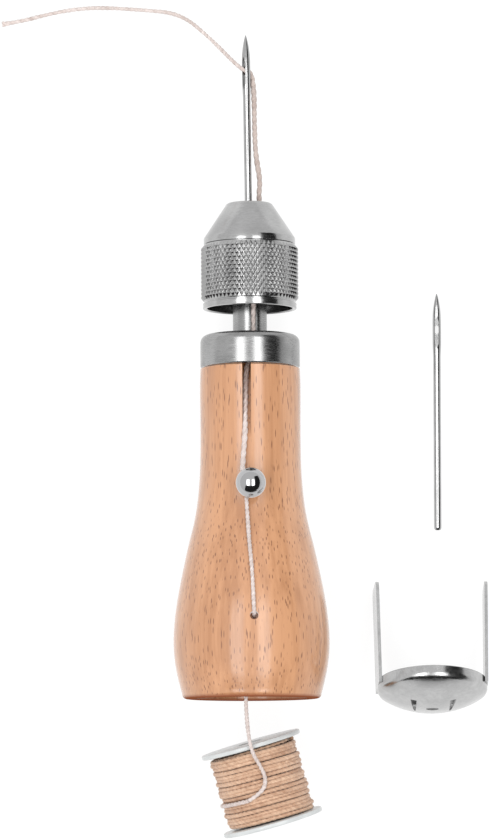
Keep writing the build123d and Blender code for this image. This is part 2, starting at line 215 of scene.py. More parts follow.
def twisted_thread(
    name, path, radius, material, twist=twist_length, sides=12, step=0.25 * MM, flare=0.0
):
    """A two-ply thread along a path: a tube whose two lobes turn once in each twist."""
    line = even_steps(path, step)
    count = len(line)
    vertices = []
    coordinates = []
    side = None
    run = 0.0
    for k, point in enumerate(line):
        ahead = (line[min(k + 1, count - 1)] - line[max(k - 1, 0)]).normalized()
        if side is None:
            side = ahead.orthogonal().normalized()
        side = (side - ahead * side.dot(ahead)).normalized()
        across = ahead.cross(side)
        if k:
            run += (point - line[k - 1]).length
        turned = 2 * math.pi * run / twist
        # small, slow swellings, so that no stretch is perfectly even
        girth = 1 + 0.05 * math.sin(run / (3.1 * MM)) + 0.04 * math.sin(run / (1.3 * MM) + 1)
        to_end = (count - 1 - k) * step / frayed_end
        girth *= 1 + flare * max(0.0, 1 - to_end)
        for s in range(sides):
            angle = 2 * math.pi * s / sides
            lobe = 0.74 + 0.3 * abs(math.cos(angle)) ** 0.8
            reach = radius * girth * lobe
            facing = angle + turned
            vertices.append(point + (side * math.cos(facing) + across * math.sin(facing)) * reach)
            coordinates.append((run, s / sides))
    faces = []
    for k in range(count - 1):
        near = k * sides
        far = near + sides
        for s in range(sides):
            after = (s + 1) % sides
            faces.append((near + s, near + after, far + after, far + s))
    faces.append(tuple(range(sides - 1, -1, -1)))
    faces.append(tuple(range((count - 1) * sides, count * sides)))
    mesh = bpy.data.meshes.new(name)
    mesh.from_pydata(vertices, [], faces)
    layer = mesh.uv_layers.new(name="thread")
    for loop in mesh.loops:
        layer.data[loop.index].uv = coordinates[loop.vertex_index]
    mesh.polygons.foreach_set("use_smooth", [True] * len(mesh.polygons))
    mesh.materials.append(material)
    piece = bpy.data.objects.new(name, mesh)
    bpy.context.scene.collection.objects.link(piece)
    return piece


pale_thread = thread_finish("waxed_pale_thread", "e6dbd7", "b9a8a1")
warm_thread = thread_finish("waxed_warm_thread", "cdbfb7", "a19089")


# ---- thread at the needle ----------------------------------------------------------------------
# One end goes through the eye and lies loose on the table; the other runs back beside the needle,
# where it is thicker and partly untwisted, and down into the nose of the chuck.

needle_axis = Vector(joints["needle_pull"]["axis"]).normalized()
needle_foot_station = 101.0
needle_across = needle_axis.cross(up)
needle_foot = base + axis * needle_foot_station * MM
needle_length = 56.5
eye_from_tip = 8.6
eye_along = needle_length - eye_from_tip
table_height = 0.52


def beside_needle(across, along, height=0.0):
    """A point by its place to the right of, along and above the fitted needle, in millimetres."""
    return needle_foot + (needle_across * across + needle_axis * along + up * height) * MM


def at(x, y, z):
    """A point measured from under the middle of the handle's base, in millimetres."""
    return Vector((base.x + x * MM, base.y + y * MM, z * MM))


eye_turn = math.radians(38)
eye = beside_needle(0, eye_along)
eye_axis = up * math.cos(eye_turn) - needle_across * math.sin(eye_turn)
tail_route = [
    eye + eye_axis * 0.05 * MM,
    eye + eye_axis * 1.9 * MM,
    at(-9.3, 157.0, 4.3),
    at(-16.2, 163.1, table_height),
    at(-25.5, 164.0, table_height),
    at(-34.7, 164.6, table_height),
    at(-40.2, 164.35, table_height),
    at(-44.6, 163.7, table_height),
    at(-49.7, 162.6, table_height),
    at(-53.7, 161.55, table_height),
    at(-58.8, 160.7, table_height),
]
tail_line = smooth_line(tail_route)
tail = twisted_thread("thread_tail_twisted", tail_line, thread_radius, pale_thread, flare=0.35)
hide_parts("thread_tail")
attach(tail, "needle")

# Where it is partly untwisted the thread is thicker
slack_swelling = 1.3
slack_twist = 3.4 * MM
needle_run_route = [
    beside_needle(2.8, 0),
    beside_needle(2.8, 14.8),
    beside_needle(2.45, 18.0),
    beside_needle(2.9, 21.6),
    beside_needle(1.95, 27.3),
    beside_needle(1.75, 33.2),
    beside_needle(1.8, 43.6, -0.3),
    eye - eye_axis * 1.9 * MM,
    eye - eye_axis * 0.05 * MM,
]
needle_run = twisted_thread(
    "thread_needle_run_twisted",
    smooth_line(needle_run_route),
    thread_radius * slack_swelling,
    warm_thread,
    twist=slack_twist,
)
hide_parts("thread_needle_run")
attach(needle_run, "needle")

# ---- thread on the handle ----------------------------------------------------------------------
# The thread comes out of the hole above the bobbin, lies on the grip, is wound round the neck of the
# stud to set its tension, and goes down the saw kerf and up the slot of the post.

lower_route = [
    on_awl(0.62, 18.7, 13.6),
    on_awl(0.62, 18.7, 18.35),
    on_awl(0.52, 21.4, 18.42),
    on_awl(0.2, 29.4, 16.95),
    on_awl(-0.45, 36.0, 15.5),
    on_awl(-0.8, 41.8, 14.15),
    on_awl(-1.05, 46.3, 13.4),
]
lower_run = twisted_thread("thread_lower_twisted", smooth_line(lower_route), thread_radius, pale_thread)
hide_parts("thread_lower_run")
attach(lower_run, "awl")

stud_at = on_awl(0, 49.5, 0)
wrap_radius = 2.03
wrap_bottom = 12.75
wrap_top = 13.45
wrap_turns = 1.5
wrap_start = math.radians(215)
wrap_steps = 40
wrap_route = []
for k in range(wrap_steps + 1):
    angle = wrap_start + 2 * math.pi * wrap_turns * k / wrap_steps
    height = wrap_bottom + (wrap_top - wrap_bottom) * k / wrap_steps
    across = Vector((1, 0, 0)) * math.cos(angle) + axis * math.sin(angle)
    wrap_route.append(stud_at + (across * wrap_radius + up * height) * MM)
wrap = twisted_thread("thread_wrap_twisted", wrap_route, thread_radius, pale_thread)
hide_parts("thread_stud_wrap")
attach(wrap, "awl")

# In the slot too the plies have opened a little
slot_swelling = 1.25
slot_twist = 3.6 * MM
upper_route = [
    on_awl(-1.95, 52.6, 13.0),
    on_awl(-1.6, 57.4, 12.65),
    on_awl(-1.2, 62.0, 12.1),
    on_awl(-1.2, 69.0, 9.75),
    on_awl(-0.9, 77.8, 6.7),
    on_awl(0.3, 80.9, 5.0),
    on_awl(0.8, 84.0, 3.2),
    on_awl(0.8, 93.4, 3.1),
    on_awl(1.3, 96.4, 2.3),
    beside_needle(2.8, -1.4),
    beside_needle(2.8, -0.05),
]
upper_run = twisted_thread(
    "thread_upper_twisted",
    smooth_line(upper_route),
    thread_radius * slot_swelling,
    pale_thread,
    twist=slot_twist,
)
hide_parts("thread_upper_run")
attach(upper_run, "awl")

# ---- thread lead -------------------------------------------------------------------------------
# From the hole in the cavity wall the thread leaves over the rim of the base and lies over the
# bobbin's flange to the turns wound on it.

lead_route = [
    on_awl(0.62, 18.1, 12.3),
    on_awl(0.2, 12.5, 12.0),
    on_awl(-0.9, 5.5, 12.15),
    on_awl(-1.5, 0.0, 12.1),
    at(-1.2, -5.2, 28.6),
    at(-0.6, -10.0, 25.9),
    at(0.3, -13.0, 24.5),
    at(1.9, -15.6, 23.35),
    at(3.2, -18.4, 23.05),
    at(2.6, -21.6, 23.1),
    at(-0.9, -23.8, 22.35),
]
lead_line = smooth_line(lead_route)
lead = twisted_thread("thread_lead_twisted", lead_line, thread_radius, pale_thread)
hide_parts("thread_lead")
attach(lead, "lead")
lead_path = even_steps(lead_line, 0.5 * MM)

# ---- handle ------------------------------------------------------------------------------------
# Beech, turned on a lathe, sanded and dipped in clear gloss lacquer: straight grain with short dark
# ray flecks along it, darker end grain, and a thin glassy skin that rounds every edge.

grip_outline = [
    (16.4, 1.2),
    (17.85, 7.5),
    (18.33, 14.1),
    (17.5, 22.6),
    (15.27, 33.8),
    (12.97, 43.6),
    (12.0, 52.6),
    (11.8, 62.0),
    (11.86, 73.0),
    (11.72, 77.75),
]


def eased(points):
    """A smooth outline through a few points of radius and height."""
    per_span = 6
    ends = [points[0], *points, points[-1]]
    fine = []
    for i in range(1, len(ends) - 2):
        a, b, c, d = ends[i - 1 : i + 3]
        for k in range(per_span):
            t = k / per_span
            fine.append(
                tuple(
                    0.5
                    * (
                        2 * q
                        + (r - p) * t
                        + (2 * p - 5 * q + 4 * r - s) * t * t
                        + (3 * q - p - 3 * r + s) * t**3
                    )
                    for p, q, r, s in zip(a, b, c, d)
                )
            )
    return fine + [points[-1]]


def turn_on_lathe(name, outline, sides=128):
    """Extrudes a circle along an outline of (radius, height) points, as a lathe would leave it."""
    bpy.ops.object.select_all(action="DESELECT")
    radius, height = outline[0]
    bpy.ops.mesh.primitive_circle_add(vertices=sides, radius=radius, location=(0, 0, height))
    piece = bpy.context.object
    piece.name = name
    bpy.ops.object.transform_apply(location=True)
    bpy.ops.object.mode_set(mode="EDIT")
    bpy.ops.mesh.select_all(action="SELECT")
    for (r0, h0), (r1, h1) in zip(outline, outline[1:]):
        bpy.ops.mesh.extrude_region_move(TRANSFORM_OT_translate={"value": (0, 0, h1 - h0)})
        bpy.ops.transform.resize(value=(r1 / r0, r1 / r0, 1), center_override=(0, 0, h1))
    bpy.ops.mesh.select_all(action="SELECT")
    bpy.ops.mesh.remove_doubles(threshold=0.0005)
    bpy.ops.mesh.normals_make_consistent(inside=False)
    bpy.ops.object.mode_set(mode="OBJECT")
    bpy.ops.object.select_all(action="DESELECT")
    return piece


def cut_away(piece, cutter):
    """Cuts one piece out of another and throws the cutter away."""
    cut = piece.modifiers.new("cut", "BOOLEAN")
    cut.operation = "DIFFERENCE"
    cut.solver = "EXACT"
    cut.object = cutter
    bpy.context.view_layer.objects.active = piece
    bpy.ops.object.modifier_apply(modifier="cut")
    bpy.data.objects.remove(cutter)


def block(corner, opposite):
    """A plain block between two corners, for cutting with."""
    bpy.ops.object.select_all(action="DESELECT")
    middle = [(a + b) / 2 for a, b in zip(corner, opposite)]
    size = [abs(a - b) for a, b in zip(corner, opposite)]
    bpy.ops.mesh.primitive_cube_add(size=1, location=middle, scale=size)
    made = bpy.context.object
    bpy.ops.object.transform_apply(location=True, scale=True)
    bpy.ops.object.select_all(action="DESELECT")
    return made


def smooth_turned(piece, degrees=35):
    """Smooth shading that keeps edges sharper than an angle."""
    bpy.ops.object.select_all(action="DESELECT")
    piece.select_set(True)
    bpy.context.view_layer.objects.active = piece
    bpy.ops.object.shade_smooth_by_angle(angle=math.radians(degrees))
    bpy.ops.object.select_all(action="DESELECT")


base_radius, round_edge = grip_outline[0]
edge_steps = 6
base_edge = [
    (
        base_radius - round_edge + round_edge * math.sin(math.pi / 2 * k / edge_steps),
        round_edge - round_edge * math.cos(math.pi / 2 * k / edge_steps),
    )
    for k in range(edge_steps)
]
handle = turn_on_lathe(
    "handle_turned",
    [(0.01, 30.0), (12.9, 30.0), (13.3, 29.6), (13.3, 0.35), (13.6, 0.0)]
    + base_edge
    + eased(grip_outline)
    + [(11.3, 77.95), (10.8, 78.0), (10.8, 83.8), (3.96, 83.8), (3.96, 78.9), (0.01, 78.9)],
)
# Saw kerf: a wedge that runs out on the grip and deepens towards the ferrule
kerf_x = -0.86
kerf_half_width = 1.02
kerf_start = 58.3
kerf_height = 12.6
kerf_slope = 0.3394
kerf = block((kerf_x - kerf_half_width, -kerf_height, kerf_start), (kerf_x + kerf_half_width, 0, 88.0))
for v in kerf.data.vertices:
    if v.co.y > -kerf_height / 2:
        v.co.y = -kerf_height + (v.co.z - kerf_start) * kerf_slope
cut_away(handle, kerf)
# The pocket that leads the thread over to the slot of the post
cut_away(handle, block((-1.9, -7.5, 78.7), (2.1, 0, 84.5)))
hole_x = 0.62
hole_station = 18.7
bpy.ops.object.select_all(action="DESELECT")
bpy.ops.mesh.primitive_cylinder_add(
    vertices=32,
    radius=1.0,
    depth=12,
    location=(hole_x, -17, hole_station),
    rotation=(math.pi / 2, 0, 0),
)
drill = bpy.context.object
bpy.ops.object.transform_apply(location=True, rotation=True)
cut_away(handle, drill)
lay_down(handle, AWL)
# The metal beside the wood mirrors the white tent, and not the wood
handle.visible_glossy = False
smooth_turned(handle, 30)
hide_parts("handle")
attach(handle, "awl")

lacquered_beech, shader = new_finish(
    "lacquered_beech", Roughness=0.5, Coat_Weight=1.0, Coat_Roughness=0.16, Coat_IOR=1.5
)
object_place = add(lacquered_beech, "TexCoord")
# The grain runs along the awl, so the pattern is laid on the awl's own axis.
along_awl = add(
    lacquered_beech,
    "Mapping",
    {
        "Vector": object_place.outputs["Object"],
        "Location": base,
        "Rotation": AWL.to_euler(),
    },
    vector_type="TEXTURE",
)
stretched = add(
    lacquered_beech,
    "Mapping",
    {"Vector": along_awl.outputs["Vector"], "Scale": (1 / (1.3 * MM), 1 / (1.3 * MM), 1 / (26 * MM))},
)
grain = add(
    lacquered_beech,
    "TexNoise",
    {"Vector": stretched.outputs["Vector"], "Scale": 1.0, "Detail": 5.0, "Roughness": 0.62},
)
broad = add(
    lacquered_beech,
    "Mapping",
    {"Vector": along_awl.outputs["Vector"], "Scale": (1 / (7 * MM), 1 / (7 * MM), 1 / (60 * MM))},
)
bands = add(
    lacquered_beech, "TexNoise", {"Vector": broad.outputs["Vector"], "Scale": 1.0, "Detail": 2.0}
)
grain_and_bands = add(
    lacquered_beech,
    "Math",
    {0: grain.outputs["Fac"], 1: bands.outputs["Fac"]},
    operation="ADD",
)
half_sum = add(
    lacquered_beech,
    "Math",
    {0: grain_and_bands.outputs["Value"], 1: 0.8},
    operation="MULTIPLY",
)
wood_ramp = add(lacquered_beech, "ValToRGB", {"Fac": half_sum.outputs["Value"]})
wood_ramp.color_ramp.elements[0].position = 0.62
wood_ramp.color_ramp.elements[0].color = linear("ad7850")
wood_ramp.color_ramp.elements[1].position = 0.95
wood_ramp.color_ramp.elements[1].color = linear("c69067")
# Ray flecks: short dark dashes about 0.2 mm wide and 2 mm long
fleck_place = add(
    lacquered_beech,
    "Mapping",
    {
        "Vector": along_awl.outputs["Vector"],
        "Scale": (1 / (0.5 * MM), 1 / (0.5 * MM), 1 / (4.2 * MM)),
    },
)
fleck_cells = add(
    lacquered_beech,
    "TexVoronoi",
    {"Vector": fleck_place.outputs["Vector"], "Scale": 1.0, "Randomness": 1.0},
)
fleck_shape = add(
    lacquered_beech,
    "MapRange",
    {
        "Value": fleck_cells.outputs["Distance"],
        "From Min": 0.16,
        "From Max": 0.28,
        "To Min": 0.8,
        "To Max": 0.0,
    },
)
with_flecks = add(
    lacquered_beech,
    "Mix",
    {"Factor": fleck_shape.outputs["Result"]},
    data_type="RGBA",
)
# A mix node has several sockets of one name; 6 and 7 take its two colours and 2 gives the mixed one
feed(lacquered_beech, wood_ramp.outputs["Color"], with_flecks.inputs[6])
with_flecks.inputs[7].default_value = linear("6a3e26")
# The sawn end is dry and dark: the lacquer starts at the edge of the base
lengthways = add(lacquered_beech, "SeparateXYZ", {"Vector": along_awl.outputs["Vector"]})
from_end = add(
    lacquered_beech,
    "MapRange",
    {"Value": lengthways.outputs["Z"], "From Min": 0.2 * MM, "From Max": 0.9 * MM},
)
end_grain = add(
    lacquered_beech,
    "Mix",
    {"Factor": from_end.outputs["Result"]},
    data_type="RGBA",
)
end_grain.inputs[6].default_value = linear("8a5238")
feed(lacquered_beech, with_flecks.outputs[2], end_grain.inputs[7])
feed(lacquered_beech, end_grain.outputs[2], shader.inputs["Base Color"])
feed(lacquered_beech, from_end.outputs["Result"], shader.inputs["Coat Weight"])
sheen_of_base = add(
    lacquered_beech, "Math", {0: from_end.outputs["Result"], 1: 0.5}, operation="MULTIPLY"
)
feed(lacquered_beech, sheen_of_base.outputs["Value"], shader.inputs["Specular IOR Level"])
pores = add(
    lacquered_beech,
    "Bump",
    {"Height": grain.outputs["Fac"], "Strength": 0.12, "Distance": 0.1 * MM},
)
feed(lacquered_beech, pores.outputs["Normal"], shader.inputs["Normal"])
handle.data.materials.append(lacquered_beech)

# ---- ferrule -----------------------------------------------------------------------------------
# A cup drawn from sheet steel and nickel plated, pressed on the tenon: satin, with faint rings from
# polishing it on a mandrel and a darker line where its rolled top edge turns in.

ferrule_radius = 11.72
rolled_edge = 1.8
rolled_steps = 8
ferrule_curve = [
    (
        ferrule_radius - rolled_edge + rolled_edge * math.cos(math.pi / 2 * k / rolled_steps),
        84.0 + rolled_edge * math.sin(math.pi / 2 * k / rolled_steps),
    )
    for k in range(rolled_steps + 1)
]
ferrule = turn_on_lathe(
    "ferrule_drawn",
    [(10.84, 78.25), (11.5, 78.15)]
    + [(ferrule_radius, 78.4), (ferrule_radius, 80.5), (ferrule_radius, 82.5)]
    + ferrule_curve
    + [(4.25, 85.8), (3.98, 85.65), (3.98, 84.6), (10.0, 84.6), (10.84, 83.85), (10.84, 78.25)],
)
lay_down(ferrule, AWL)
smooth_turned(ferrule, 30)
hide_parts("ferrule")
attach(ferrule, "awl")


def satin_metal(name, light, dark, roughness, line_width, place_from, streak=(1, 1, 12)):
    """Satin plated steel: fine polishing lines, shade that drifts, and small differences of gloss."""
    material, made = new_finish(name, Metallic=1.0, Roughness=roughness)
    where = add(material, "TexCoord")
    laid = add(
        material,
        "Mapping",
        {
            "Vector": where.outputs["Object"],
            "Location": place_from.to_translation(),
            "Rotation": place_from.to_euler(),
        },
        vector_type="TEXTURE",
    )
    fine = add(
        material,
        "Mapping",
        {"Vector": laid.outputs["Vector"], "Scale": [s / line_width / 12 for s in streak]},
    )
    lines = add(
        material,
        "TexNoise",
        {"Vector": fine.outputs["Vector"], "Scale": 1.0, "Detail": 3.0, "Roughness": 0.65},
    )
    drift = add(
        material,
        "TexNoise",
        {"Vector": laid.outputs["Vector"], "Scale": 1 / (6 * MM), "Detail": 2.0},
    )
    mixed = add(
        material, "Math", {0: lines.outputs["Fac"], 1: drift.outputs["Fac"]}, operation="MULTIPLY"
    )
    ramp = add(material, "ValToRGB", {"Fac": mixed.outputs["Value"]})
    ramp.color_ramp.elements[0].position = 0.14
    ramp.color_ramp.elements[0].color = linear(dark)
    ramp.color_ramp.elements[1].position = 0.36
    ramp.color_ramp.elements[1].color = linear(light)
    feed(material, ramp.outputs["Color"], made.inputs["Base Color"])
    gloss = add(
        material,
        "MapRange",
        {
            "Value": lines.outputs["Fac"],
            "From Min": 0.3,
            "From Max": 0.7,
            "To Min": roughness * 0.8,
            "To Max": roughness * 1.25,
        },
    )
    feed(material, gloss.outputs["Result"], made.inputs["Roughness"])
    bump = add(
        material, "Bump", {"Height": lines.outputs["Fac"], "Strength": 0.1, "Distance": 0.02 * MM}
    )
    feed(material, bump.outputs["Normal"], made.inputs["Normal"])
    return material


satin_nickel = satin_metal("satin_nickel", "a6a6a6", "8a8a8a", 0.25, 0.12 * MM, AWL)
ferrule.data.materials.append(satin_nickel)

# ---- chuck post --------------------------------------------------------------------------------
# Turned steel bar with a milled slot for the thread, nickel plated like the ferrule.

post = frame["nodes"]["chuck_post"]
smooth_turned(post, 30)
post.data.materials.clear()
post.data.materials.append(satin_nickel)

# ---- tension stud ------------------------------------------------------------------------------
# A ball-headed screw, polished and chromed, that the thread is wound round under the ball.

chrome, shader = new_finish("polished_chrome", Metallic=1.0, Roughness=0.07)
shader.inputs["Base Color"].default_value = linear("b4b4b5")
place = add(chrome, "TexCoord")
smears = add(
    chrome, "TexNoise", {"Vector": place.outputs["Object"], "Scale": 1 / (1.6 * MM), "Detail": 3.0}
)
dulled = add(
    chrome,
    "MapRange",
    {
        "Value": smears.outputs["Fac"],
        "From Min": 0.35,
        "From Max": 0.7,
        "To Min": 0.05,
        "To Max": 0.13,
    },
)
feed(chrome, dulled.outputs["Result"], shader.inputs["Roughness"])
stud = frame["nodes"]["tension_stud"]
smooth_turned(stud, 30)
stud.data.materials.clear()
stud.data.materials.append(chrome)

# ---- chuck cap ---------------------------------------------------------------------------------
# Turned from steel bar, diamond knurled for the fingers, satin finished: a plain ring, the knurl
# between two chamfers, a smooth band and a cone up to the nose that the needle comes out of.

chuck_cap = turn_on_lathe(
    "chuck_cap_turned",
    [
        (10.1, 92.25),
        (10.35, 92.0),
        (10.9, 92.0),
        (11.05, 92.15),
        (11.05, 93.25),
        (10.7, 93.4),
        (10.7, 93.65),
        (10.9, 93.95),
        (10.9, 106.5),
        (10.65, 107.0),
        (10.65, 107.25),
        (10.82, 107.4),
        (10.82, 108.65),
        (10.72, 108.95),
        (5.9, 116.25),
        (5.7, 116.5),
        (5.5, 116.85),
        (5.15, 117.1),
        (3.6, 117.1),
        (3.45, 116.95),
        (3.45, 113.2),
        (5.25, 109.5),
        (5.25, 99.3),
        (10.1, 99.3),
        (10.1, 92.25),
    ],
)
lay_down(chuck_cap, AWL)
smooth_turned(chuck_cap, 30)
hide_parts("chuck_cap")
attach(chuck_cap, "chuck")
satin_steel = satin_metal("satin_turned_steel", "b8b8b8", "a4a4a4", 0.17, 0.1 * MM, AWL)
bright_steel = satin_metal("satin_knurled_steel", "bababa", "a6a6a6", 0.17, 0.1 * MM, AWL)
chuck_cap.data.materials.append(satin_steel)

# The knurl: rows of four-sided points 1.1 mm apart round the cap and 1.9 mm apart along it. Peaks
# and the crossings of the grooves alternate, and each cell is split along its groove.
knurl_radius = 11.4
knurl_columns = 126
knurl_rows = 14
knurl_bottom = 93.75
knurl_top = 107.1
knurl_depth = 0.34
peak_above = 0.18
end_below = 0.62
points = []
peaks = []
for row in range(knurl_rows + 1):
    end = row in (0, knurl_rows)
    for column in range(knurl_columns):
        peak = (row + column) % 2 == 0 and not end
        radius = knurl_radius + peak_above if peak else knurl_radius - knurl_depth
        if end:
            radius = knurl_radius - end_below
        if peak:
            peaks.append(len(points))
        angle = 2 * math.pi * column / knurl_columns
        height = knurl_bottom + (knurl_top - knurl_bottom) * row / knurl_rows
        points.append((radius * math.cos(angle), radius * math.sin(angle), height))
triangles = []
for row in range(knurl_rows):
    for column in range(knurl_columns):
        a = row * knurl_columns + column
        b = row * knurl_columns + (column + 1) % knurl_columns
        c = b + knurl_columns
        d = a + knurl_columns
        if (row + column) % 2 == 0:
            triangles += [(a, b, d), (b, c, d)]
        else:
            triangles += [(a, b, c), (a, c, d)]
mesh = bpy.data.meshes.new("chuck_knurl_points")
mesh.from_pydata(points, [], triangles)
knurl = bpy.data.objects.new("chuck_knurl_points", mesh)
bpy.context.scene.collection.objects.link(knurl)
# The tops of the points are worn flat
bpy.context.view_layer.objects.active = knurl
for k in peaks:
    mesh.vertices[k].select = True
bpy.ops.object.mode_set(mode="EDIT")
bpy.ops.mesh.select_mode(type="VERT")
bpy.ops.mesh.bevel(offset=0.16, affect="VERTICES")
bpy.ops.object.mode_set(mode="OBJECT")
lay_down(knurl, AWL)
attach(knurl, "chuck")
knurl.data.materials.append(bright_steel)

# ---- collet jaws -------------------------------------------------------------------------------
# Two half-round steel jaws inside the cap, plain turned and left satin.

for name in ("collet_jaw_upper", "collet_jaw_lower"):
    jaw = frame["nodes"][name]
    smooth_turned(jaw, 30)
    jaw.data.materials.clear()
    jaw.data.materials.append(satin_steel)

# ---- needles -----------------------------------------------------------------------------------
# Carbon steel, ground to a cutting point, nickel plated: an eye through the blade, a hollow round it
# on one side and a long groove that shelters the thread on the other.

shank_radius = 0.87
eye_radius = 0.46
eye_stretch = 0.54


def grind_needle(name, foot, along, through_eye, material):
    """A needle turned upright, pierced and grooved, then laid from its foot along its axis."""
    tip = needle_length
    piece = turn_on_lathe(
        name,
        [
            (0.01, 0.0),
            (0.6, 0.0),
            (0.82, 0.35),
            (shank_radius, 0.75),
            (shank_radius, 20.0),
            (shank_radius, tip - 15.0),
            (0.93, tip - 13.6),
            (0.99, tip - 12.2),
            (1.0, tip - 8.6),
            (0.99, tip - 6.2),
            (0.92, tip - 4.6),
            (0.77, tip - 3.2),
            (0.55, tip - 1.9),
            (0.3, tip - 0.8),
            (0.1, tip - 0.1),
            (0.01, tip),
        ],
        sides=40,
    )
    # The eye, a slot with rounded ends
    eye_middle = tip - eye_from_tip
    bpy.ops.object.select_all(action="DESELECT")
    bpy.ops.mesh.primitive_cylinder_add(
        vertices=24,
        radius=eye_radius,
        depth=4,
        location=(0, 0, eye_middle),
        rotation=(math.pi / 2, 0, 0),
    )
    punch = bpy.context.object
    bpy.ops.object.transform_apply(location=True, rotation=True)
    for v in punch.data.vertices:
        v.co.z += eye_stretch if v.co.z > eye_middle else -eye_stretch
    cut_away(piece, punch)
    # The hollow that the eye stands in, pointed at both ends
    bpy.ops.object.select_all(action="DESELECT")
    bpy.ops.mesh.primitive_cylinder_add(vertices=6, radius=0.52, depth=2, rotation=(math.pi / 2, 0, 0))
    hollow = bpy.context.object
    bpy.ops.object.transform_apply(rotation=True)
    for v in hollow.data.vertices:
        reach = 2.6 if abs(v.co.z) < 0.4 else 4.0
        v.co.z = eye_middle - 0.7 + math.copysign(reach, v.co.z)
        v.co.y -= 1.45
    cut_away(piece, hollow)
    # The long groove on the back
    cut_away(piece, block((-0.24, 0.68, 18.0), (0.24, 2.0, eye_middle + 0.8)))
    side = along.cross(through_eye).normalized()
    place = Matrix((side, -through_eye, along)).transposed().to_4x4()
    if place.determinant() < 0:
        place = Matrix((-side, -through_eye, along)).transposed().to_4x4()
    lay_down(piece, Matrix.Translation(foot) @ place)
    smooth_turned(piece, 28)
    piece.data.materials.append(material)
    return piece


spare_low, spare_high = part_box("spare_needle")
spare_foot = Vector(((spare_low.x + spare_high.x) / 2, spare_low.y, (spare_low.z + spare_high.z) / 2))
SPARE = Matrix.Translation(spare_foot) @ Matrix.Rotation(-math.pi / 2, 4, "X")
plated_steel = satin_metal("plated_needle_steel", "b6b6b6", "a0a0a0", 0.16, 0.08 * MM, SPARE, (12, 12, 1))
needle = grind_needle("needle_ground", needle_foot, needle_axis, eye_axis, plated_steel)
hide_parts("needle")
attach(needle, "needle")
spare = grind_needle("spare_needle_ground", spare_foot, Vector((0, 1, 0)), Vector((0, 0, 1)), plated_steel)
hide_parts("spare_needle")
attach(spare, "spare")

# ---- bobbin ------------------------------------------------------------------------------------
# Moulded in milky polystyrene: two thin flanges on a hollow core, glossy. It lets some light through, but
# is drawn opaque here.

spin = joints["bobbin_spin"]
bobbin_axis = Vector(spin["axis"]).normalized()
bobbin_side = bobbin_axis.cross(Vector((0, 0, 1)))
bobbin_height = 20.1
bobbin_middle = Vector(spin["pos_m"])
BOBBIN = (
    Matrix.Translation(bobbin_middle - bobbin_axis * bobbin_height / 2 * MM)
    @ Matrix((bobbin_side, -Vector((0, 0, 1)), bobbin_axis)).transposed().to_4x4()
)
flange_radius = 12.0
flange = 1.05
bobbin = turn_on_lathe(
    "bobbin_moulded",
    [
        (3.1, 0.0),
        (flange_radius - 0.25, 0.0),
        (flange_radius - 0.07, 0.1),
        (flange_radius, 0.3),
        (flange_radius, flange - 0.3),
        (flange_radius - 0.07, flange - 0.1),
        (flange_radius - 0.25, flange),
        (4.2, flange + 0.15),
        (4.2, bobbin_height - flange - 0.15),
        (flange_radius - 0.25, bobbin_height - flange),
        (flange_radius - 0.07, bobbin_height - flange + 0.1),
        (flange_radius, bobbin_height - flange + 0.3),
        (flange_radius, bobbin_height - 0.3),
        (flange_radius - 0.07, bobbin_height - 0.1),
        (flange_radius - 0.25, bobbin_height),
        (3.1, bobbin_height),
        (3.1, 0.0),
    ],
)
lay_down(bobbin, BOBBIN)
smooth_turned(bobbin, 40)
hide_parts("bobbin_spool")
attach(bobbin, "bobbin")
milky, shader = new_finish("milky_polystyrene", Roughness=0.3, IOR=1.59)
place = add(milky, "TexCoord")
flow = add(
    milky, "TexNoise", {"Vector": place.outputs["Object"], "Scale": 1 / (5 * MM), "Detail": 2.0}
)
ramp = add(milky, "ValToRGB", {"Fac": flow.outputs["Fac"]})
ramp.color_ramp.elements[0].position = 0.3
ramp.color_ramp.elements[0].color = linear("bcbfbf")
ramp.color_ramp.elements[1].position = 0.7
ramp.color_ramp.elements[1].color = linear("c8cbcb")
feed(milky, ramp.outputs["Color"], shader.inputs["Base Color"])
bobbin.data.materials.append(milky)

# ---- winding -----------------------------------------------------------------------------------
# About 5 m of the same thread wound in layers between the flanges. The turns of the top layer lie a
# little apart and at slightly different heights, so its outline is uneven.

layer_gap = 0.92
turns_per_layer = 18
layers = 6
top_radius = 9.85
top_swelling = 1.12
beside_flange = 0.62
first_height = flange + beside_flange
last_height = bobbin_height - flange - beside_flange


def wound_layer(index, steps):
    """The points of one layer's turns, wound up or down the core."""
    radius = top_radius - layer_gap * (layers - 1 - index)
    total = turns_per_layer * steps
    made = []
    for k in range(total):
        turn = k / steps
        share = k / (total - 1)
        if index % 2:
            share = 1 - share
        angle = 2 * math.pi * (turn + index * turns_per_layer)
        # waves that never meet in step, so the turns look laid by hand
        lift = 0.2 * math.sin(turn * 2.4 + index) + 0.14 * math.sin(turn * 5.3)
        drift = 0.14 * math.sin(turn * 1.7 + 2 * index) + 0.05 * math.sin(3 * angle)
        height = first_height + (last_height - first_height) * share + drift
        height = min(max(height, first_height), last_height)
        reach = radius + lift
        made.append(
            BOBBIN @ (Vector((reach * math.cos(angle), reach * math.sin(angle), height)) * MM)
        )
    return made


wound_pale = thread_finish("waxed_wound_thread", "dab89c", "ab8368")
inner = []
for index in range(layers - 1):
    inner += wound_layer(index, 24)
inner_turns = twisted_thread(
    "winding_inner_layers", inner, thread_radius, wound_pale, twist=8 * MM, sides=6, step=1.6 * MM
)
top_turns = twisted_thread(
    "winding_top_layer",
    wound_layer(layers - 1, 72),
    thread_radius * top_swelling,
    wound_pale,
    twist=2.4 * MM,
    sides=10,
    step=0.4 * MM,
)
for piece in (inner_turns, top_turns):
    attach(piece, "bobbin")
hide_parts("thread_winding")
